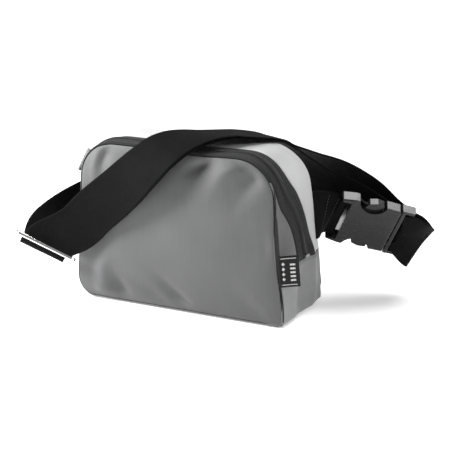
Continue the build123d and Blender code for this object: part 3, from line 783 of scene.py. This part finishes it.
GLIDE_AT = Vector((-110, -52, 43))
GLIDE_ALONG = unit(0.77, 0.42, -0.48)
GLIDE_UP = Vector((0.29, 0.44, 0.85))
GLIDE_UP = (GLIDE_UP - GLIDE_ALONG * GLIDE_UP.dot(GLIDE_ALONG)).normalized()
GLIDE_NEAR = GLIDE_ALONG.cross(GLIDE_UP)
GLIDE_BAR, GLIDE_WEB_SHIFT, LEG_HEIGHT = 3.0, -1.0, 3.0
GLIDE_DROOP = 1.5           # how far the loose turn under the bar hangs, times its radius
BUCKLE_AT = Vector((104.0, 47, 67.2))
BUCKLE_ALONG = unit(0.808, 0.524, -0.270)
BUCKLE_DOWN = Vector((-0.453, 0.31, -0.836))
BUCKLE_DOWN = (BUCKLE_DOWN - BUCKLE_ALONG * BUCKLE_DOWN.dot(BUCKLE_ALONG)).normalized()
BUCKLE_FACE = BUCKLE_DOWN.cross(BUCKLE_ALONG)
PIN_RADIUS, WRAP_GAP, PLUG_BAR_X, EAR_BAR_X = 1.6, 0.3, 48.0, -5.0
SEWN_RADIUS = GLIDE_BAR / 2 + WRAP_GAP + WEB_THICK / 2
RUNNING_RADIUS = SEWN_RADIUS + LAYER_STEP - 0.1
WRAP_RADIUS = PIN_RADIUS + WRAP_GAP + WEB_THICK / 2

# Webbing stations: the middle of the webbing, and the direction across it
FRONT_RUN = [((-83, -49, 59), (0.72, 0.26, -0.65)), ((-66, -48, 75), (0.68, 0.12, -0.72)),
             ((-49, -48, 89), (0.67, -0.05, -0.74)), ((-33, -48, 103), (0.68, -0.22, -0.69)),
             ((-19, -48, 116), (0.72, -0.38, -0.58)), ((-7, -43.4, 127.6), (0.75, -0.50, -0.43)),
             ((2, -33.6, 133.9), (0.79, -0.57, -0.24)), ((10, -22, 136), (0.80, -0.60, -0.08)),
             ((17, -11, 136), (0.80, -0.61, 0.03))]
CROSSING = ((25, 1, 135.2), (0.78, -0.62, 0.07))
BACK_RUN = [((34, 14, 133), (0.77, -0.63, 0.04)), ((45, 27, 130), (0.77, -0.63, 0.07)),
            ((50.7, 34.4, 127.0), (0.77, -0.62, 0.10)), ((56.5, 41, 121.0), (0.77, -0.60, 0.12)),
            ((67, 51, 112.5), (0.78, -0.54, 0.24)), ((77, 61, 104), (0.76, -0.45, 0.40)),
            ((88, 69, 95), (0.72, -0.34, 0.56)), ((100, 76, 84.5), (0.68, -0.22, 0.66)),
            ((111, 81, 74), (0.64, -0.11, 0.74)), ((123, 84, 61), (0.58, 0.00, 0.80))]
BACK_END = ((137, 87, 49), (0.55, 0.10, 0.82))
FOLD = [((144.5, 88.2, 42.5), (0.50, 0.16, 0.85)), ((151, 88.6, 37.5), (0.47, 0.16, 0.86)),
        ((149.5, 82.8, 42.5), (0.46, 0.00, 0.86))]
INNER_BACK_RUN = [((67, 49.5, 104), (0.70, -0.42, 0.50)), ((77, 57, 91), (0.60, -0.30, 0.70)),
                  ((88, 64, 82), (0.50, -0.20, 0.84)), ((99, 70, 74), (0.45, -0.10, 0.89)),
                  ((110, 75, 66.5), (0.46, -0.04, 0.88)), ((122, 79.5, 57.5), (0.50, 0.03, 0.86))]
LEFT_RUN = [((-113, -41, 53), (0.66, 0.34, -0.67)), ((-109, -25, 60), (0.45, 0.20, -0.87)),
            ((-104, -9, 65), (0.28, 0.10, -0.96)), ((-98.5, 9, 69), (0.12, 0.04, -1.0)),
            ((-93, 24, 71), (0.02, 0, -1))]
LEFT_ANCHOR = ((-89.8, 31.0, 71.5), (-0.07, 0, -1))
RIGHT_ANCHOR = ((90.0, 30.5, 71.5), (0.07, 0, -1))
SHORT_STITCH_ROWS = (11, 14)


def glide_point(near, up):
    """The middle of the webbing beside the tri-glide's bar."""
    return GLIDE_AT + GLIDE_ALONG * GLIDE_WEB_SHIFT + GLIDE_NEAR * near + GLIDE_UP * up


def buckle_point(x, z):
    """A point on the buckle: x along it from the socket, z out from its face."""
    return BUCKLE_AT + BUCKLE_ALONG * x + BUCKLE_FACE * z


def spline(a, b, c, d, t):
    """A number on the smooth curve from b to c, between a and d."""
    return 0.5 * (2 * b + (c - a) * t + (2 * a - 5 * b + 4 * c - d) * t * t
                  + (3 * b - a - 3 * c + d) * t**3)


def curve_rows(stations, divide=8):
    """Rows on a smooth curve through the stations: (middle, across, out) each.
    A station is (middle, across, lift along the direction through the webbing)."""
    values = [[*Vector(c), *Vector(w).normalized(), lift] for c, w, lift in stations]
    before_first = [2 * q - r for q, r in zip(values[0], values[1])]
    after_last = [2 * q - r for q, r in zip(values[-1], values[-2])]
    padded = [before_first] + values + [after_last]
    dense = []
    for four in zip(padded, padded[1:], padded[2:], padded[3:]):
        for k in range(divide):
            dense.append([spline(*numbers, k / divide) for numbers in zip(*four)])
    dense.append(values[-1])
    rows = []
    for i, v in enumerate(dense):
        before, after = dense[max(i - 1, 0)], dense[min(i + 1, len(dense) - 1)]
        along = Vector(after[:3]) - Vector(before[:3])
        across = Vector(v[3:6]).normalized()
        out = along.cross(across).normalized()
        across = out.cross(along).normalized()
        rows.append((Vector(v[:3]) + out * v[6], across, out))
    return rows


def hoop_rows(middle, x_dir, y_dir, across, radius, start, end, droop=1.0):
    """Webbing turned round a bar in steps of 15 degrees, in rows with the outward direction."""
    rows = []
    count = max(2, round(abs(end - start) / 15))
    for i in range(count + 1):
        a = math.radians(start + (end - start) * i / count)
        out = x_dir * math.cos(a) + y_dir * math.sin(a)
        at = middle + (x_dir * math.cos(a) + y_dir * (droop * math.sin(a))) * radius
        rows.append((at, across, out))
    return rows


def flipped(rows):
    """The same rows with their other face out."""
    return [(c, w, -o) for c, w, o in rows]


def smoothed(rows, times=2):
    """Takes the kinks out of joined rows, leaving the ends where they are."""
    for _ in range(times):
        between = []
        for a, b, c in zip(rows, rows[1:], rows[2:]):
            middle, across, out = [p + q * 2 + r for p, q, r in zip(a, b, c)]
            between.append((middle / 4, across.normalized(), out.normalized()))
        rows = [rows[0]] + between + [rows[-1]]
    return rows


# The webbing's section: (distance from its middle line, height as a part of its thickness)
WEB_FACE = (-18.4, -17.2, -15, -12, -8, -4, 0, 4, 8, 12, 15, 17.2, 18.4)
WEB_SECTION = ([(x, 0.5) for x in WEB_FACE] + [(18.85, 0.36), (19.0, 0.0), (18.85, -0.36)]
               + [(-x, -0.5) for x in WEB_FACE] + [(-18.85, -0.36), (-19.0, 0.0), (-18.85, 0.36)])


def webbing(name, rows, stands_for, body="pouch", seed=0.0):
    """Flat webbing through the rows, with rounded edges and a slight natural waver."""
    points, uvs = [], []
    along = 0.0
    count = len(WEB_SECTION)
    for i, (middle, across, out) in enumerate(rows):
        along += (middle - rows[i - 1][0]).length if i else 0.0
        for x, side in WEB_SECTION:
            thick = WEB_THICK * (1.08 if 16.5 < abs(x) < 18.6 else 1.0)
            curl = 0.35 * (1 - (x / WEB_HALF)**2) * slow(along, 0, 0, 60, seed + 4)
            waver = 0.25 * slow(along, x, seed, 22, seed)
            points.append(middle + across * x + out * (side * thick + curl + waver))
            uvs.append((x + WEB_HALF if side >= 0 else WEB_BACK - x, along))
    faces = [f[::-1] for f in grid_faces(len(rows), count, closed=True)]
    faces += [f[::-1] for f in end_faces(len(rows), count)]
    return piece(name, points, faces, WEBBING, body, stands_for, uvs)


def lifted(stations, lift):
    """Stations with how far the layer lies off their line."""
    return [(c, w, lift) for c, w in stations]


def make_belt():
    half = LAYER_STEP / 2
    middle, round_bar = glide_point(0, 0), (GLIDE_NEAR, GLIDE_UP, GLIDE_ALONG)
    bar_inner, bar_outer, bar_far = [(glide_point(near, LEG_HEIGHT), GLIDE_ALONG, 0.0)
                                     for near in (SEWN_RADIUS, RUNNING_RADIUS, -RUNNING_RADIUS)]
    outer = curve_rows([bar_outer] + lifted(FRONT_RUN + [CROSSING], -half))
    inner = curve_rows([bar_inner] + lifted(FRONT_RUN + [CROSSING], half))
    bight = hoop_rows(middle, *round_bar, RUNNING_RADIUS, 0, -180, GLIDE_DROOP)
    sewn_in = (Vector(LEFT_ANCHOR[0]) + Vector((5, -0.5, 0)), LEFT_ANCHOR[1])
    far = curve_rows([bar_far] + lifted(LEFT_RUN + [LEFT_ANCHOR, sewn_in], 0.0))
    run = flipped(outer)[::-1] + bight + flipped(far)
    webbing("belt_running_webbing", smoothed(run),
            ("belt_front_outer", "belt_glide_bight", "belt_left_strap"), seed=1.3)
    sewn = hoop_rows(middle, *round_bar, SEWN_RADIUS, 0, -212)
    webbing("belt_inner_webbing", smoothed(flipped(inner)[::-1] + sewn, 1),
            ("belt_front_inner", "belt_sewn_end"), seed=5.1)
    make_back_belt(half)
    make_short_strap(half)


def make_back_belt(half):
    """Both layers behind the pouch and the fold at the plug, one piece round the plug's bar."""
    upward = -BUCKLE_DOWN
    lead, bar = (buckle_point(PLUG_BAR_X + 4, 0), upward), (buckle_point(PLUG_BAR_X, 0), upward)
    ways = []
    for run, side in ((BACK_RUN, -1), (BACK_RUN[:4] + INNER_BACK_RUN, 1)):
        stations = lifted([CROSSING] + run + [BACK_END] + FOLD, side * half)
        stations += [(*lead, side * (half + 1.5)), (*bar, side * WRAP_RADIUS)]
        ways.append(curve_rows(stations))
    turn = hoop_rows(bar[0], BUCKLE_ALONG, BUCKLE_FACE, upward, WRAP_RADIUS, 90, 270)
    loop = smoothed(flipped(ways[0])[:-1] + turn + ways[1][::-1][1:])
    belt = webbing("belt_back_webbing", loop, ("belt_back_outer", "belt_back_inner", "plug_webbing"),
                   None, 2.2)
    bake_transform(belt)


def make_short_strap(half):
    """The doubled strap from the right seam round the socket's bar, and its two rows of stitches."""
    bar = buckle_point(EAR_BAR_X, 0)
    sewn_in = (Vector(RIGHT_ANCHOR[0]) + Vector((-5.5, -3.5, 0)), RIGHT_ANCHOR[1])
    ways = []
    for side in (-1, 1):
        stations = lifted([sewn_in, RIGHT_ANCHOR], side * half)
        stations += [(buckle_point(EAR_BAR_X - 5, 0), BUCKLE_DOWN, side * (half + 1.5)),
                     (bar, BUCKLE_DOWN, side * WRAP_RADIUS)]
        ways.append(curve_rows(stations))
    turn = hoop_rows(bar, BUCKLE_ALONG, BUCKLE_FACE, BUCKLE_DOWN, WRAP_RADIUS, 90, -90)
    rows = smoothed(flipped(ways[0])[:-1] + turn + ways[1][::-1][1:], 1)
    webbing("belt_short_webbing", rows, ("belt_short_strap",), seed=3.7)
    places = []
    for row in SHORT_STITCH_ROWS:
        middle, across, out = rows[row]
        for x in even(-16.5, 16.5, 2.6):
            places.append((middle + across * x + out * (WEB_THICK / 2 + 0.05), across, out))
    stitches("belt_short_stitches", places, 1.9, 0.28, BLACK_THREAD)


# --- Label ---

LABEL_OUT, LABEL_TALL, LABEL_SKIN = 16.0, 24.0, 0.46
LABEL_CORNER = Vector((WIDTH / 2 - 3.9, FRONT_Y + 0.8, 31.5))
LABEL_UP = unit(SHOULDER_WIDTH - WIDTH, 0, 2 * (HEIGHT - TOP_RADIUS - BOTTOM_RADIUS))
LABEL_ALONG = unit(0.86, 0.51, 0.064)
LABEL_FACE = LABEL_ALONG.cross(LABEL_UP).normalized()
LABEL_BARS, LABEL_DIAMONDS = 5, 4


def label_point(across, height, lift):
    """A point on the label, which curls a little away from the pouch towards its fold."""
    t = across / LABEL_OUT
    curl = 0.9 * t**2 - 0.5 * math.sin(math.pi * t) + 0.25 * math.sin(height / 5)
    return LABEL_CORNER + LABEL_ALONG * across + LABEL_UP * height + LABEL_FACE * (lift + curl * t)


def make_label():
    """A folded woven label: a closed loop of tape in section, with a hem and a plain pattern."""
    turn = LABEL_OUT - 0.5
    section = [(t, LABEL_SKIN) for t in even(-0.6, turn, 0.9)]
    section += [(turn + LABEL_SKIN * math.sin(a), LABEL_SKIN * math.cos(a)) for a in even(0.4, 2.7, 0.5)]
    section += [(t, -LABEL_SKIN) for t in even(turn, -0.6, 0.9)]
    points, uvs = [], []
    heights = even(0, LABEL_TALL, 1.0)
    for h in heights:
        points += [label_point(a, h, lift) for a, lift in section]
        uvs += [(a if lift > 0 else 40 - a, h) for a, lift in section]
    faces = grid_faces(len(heights), len(section), closed=True)
    faces += end_faces(len(heights), len(section))
    piece("side_label_cloth", points, faces, LABEL, "pouch", ("side_label",), uvs)
    make_label_pattern()
    places = [(label_point(0.9, h, LABEL_SKIN + 0.02), LABEL_UP, LABEL_FACE)
              for h in even(1, LABEL_TALL - 1, 2.4)]
    stitches("side_label_stitches", places, 1.7, 0.18, BLACK_THREAD)


def pattern_corners():
    """The pattern's patches: a border line at each end, the bars and a row of small diamonds."""
    boxes = [((2.2, 13.8), (1.6, 2.1)), ((2.2, 13.8), (21.9, 22.4))]
    boxes += [((9.0, 13.0), (4.6 + 3.0 * k, 6.0 + 3.0 * k)) for k in range(LABEL_BARS)]
    patches = []
    for (a, b), (low, high) in boxes:
        steps = even(a, b, 1.3)
        patches += [[(one, low), (two, low), (two, high), (one, high)] for one, two in zip(steps, steps[1:])]
    for h in [6.2 + 3.9 * k for k in range(LABEL_DIAMONDS)]:
        patches.append([(4.0, h - 1.4), (5.3, h), (4.0, h + 1.4), (2.7, h)])
    return patches


def make_label_pattern():
    points, faces, uvs = [], [], []
    for corners in pattern_corners():
        start, n = len(points), len(corners)
        for lift in (LABEL_SKIN - 0.05, LABEL_SKIN + 0.14):
            points += [label_point(a, h, lift) for a, h in corners]
            uvs += corners
        faces.append(tuple(start + n + k for k in range(n)))
        faces.append(tuple(start + k for k in range(n))[::-1])
        for k in range(n):
            m = (k + 1) % n
            faces.append((start + k, start + m, start + n + m, start + n + k))
    marks = piece("side_label_pattern", points, faces, LABEL_MARK, "pouch", (), uvs)
    marks.data.polygons.foreach_set("use_smooth", [False] * len(marks.data.polygons))


# --- Hard pieces kept from the frame ---

def finish_hard_pieces():
    """Materials for the parts that keep their CAD shape."""
    finishes = {"buckle_socket": BUCKLE, "buckle_plug": BUCKLE, "prong_upper": PRONG, "prong_lower": PRONG,
                "triglide_frame": BRIGHT_METAL, "triglide_bar": BRIGHT_METAL, "zip_slider": SLIDER_METAL,
                "zip_pull": PULL, "zip_stop_left": SLIDER_METAL, "zip_stop_right": SLIDER_METAL,
                "binding_front": BINDING_AND_SEAM_SHADE, "binding_back": BINDING_AND_SEAM_SHADE}
    for node, material in finishes.items():
        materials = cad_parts[node].data.materials
        if not materials:
            materials.append(material)
        for i in range(len(materials)):
            materials[i] = material


make_pouch()
make_belt()
make_label()
finish_hard_pieces()


# --- Camera, light and floor ---

def aim(obj, target):
    obj.rotation_euler = (Vector(target) - obj.location).to_track_quat("-Z", "Y").to_euler()


def sun(name, towards, power, spread_angle):
    """Broad, soft light from one direction."""
    data = bpy.data.lights.new(name, "SUN")
    data.energy = power
    data.angle = math.radians(spread_angle)
    obj = bpy.data.objects.new(name, data)
    obj.location = Vector(towards)
    bpy.context.scene.collection.objects.link(obj)
    aim(obj, (0, 0, 0))


def panel(name, at, power, size):
    """A square lamp close by, so its light falls off across the bag."""
    data = bpy.data.lights.new(name, "AREA")
    data.energy = power
    data.size = size
    obj = bpy.data.objects.new(name, data)
    obj.location = Vector(at)
    bpy.context.scene.collection.objects.link(obj)
    aim(obj, (0, -0.05, 0.07))


def make_stage():
    """A plain pale floor and soft light from above, the left and the right."""
    world = bpy.data.worlds.new("studio")
    bpy.context.scene.world = world
    world.use_nodes = True
    background = world.node_tree.nodes["Background"]
    background.inputs["Color"].default_value = (1, 1, 1, 1)
    background.inputs["Strength"].default_value = 0.25
    bpy.context.scene.view_settings.view_transform = "Standard"
    mesh = bpy.data.meshes.new("floor")
    half = 8.0
    mesh.from_pydata([(-half, -half, 0), (half, -half, 0), (half, half, 0), (-half, half, 0)], [],
                     [(0, 1, 2, 3)])
    floor = bpy.data.objects.new("floor", mesh)
    n = Nodes("pale_floor")
    pale = n.ramp(n.noise(3.0), (0.3, 0.88), (0.7, 0.90))
    mesh.materials.append(n.done(pale, 0.9, Emission_Strength=0.30))
    bpy.context.scene.collection.objects.link(floor)
    floor.location.z = -0.0008      # just below the bag, so the two don't share a plane
    sun("top", (0.12, 0.40, 0.92), 2.9, 36)
    sun("right", (0.95, -0.15, 0.50), 1.1, 26)
    panel("left", (-0.32, -0.24, 0.30), 4.1, 0.16)


def make_camera():
    """The camera, turned 28 degrees round from the front and looking down 16.5 degrees."""
    azimuth, elevation, distance, roll = math.radians(28), math.radians(16.5), 1.104, math.radians(-0.7)
    flat = math.cos(elevation)
    away = Vector((math.sin(azimuth) * flat, -math.cos(azimuth) * flat, math.sin(elevation)))
    target = Vector((0.0307, -0.0084, 0.0639))
    data = bpy.data.cameras.new("camera")
    data.sensor_width = 36.0
    data.lens = 112.9
    data.clip_start = 0.05
    camera = bpy.data.objects.new("camera", data)
    camera.location = target + away * distance
    level = (-away).to_track_quat("-Z", "Y")
    camera.rotation_euler = (level @ Quaternion((0, 0, 1), roll)).to_euler()
    bpy.context.scene.collection.objects.link(camera)
    bpy.context.scene.camera = camera


make_stage()
make_camera()
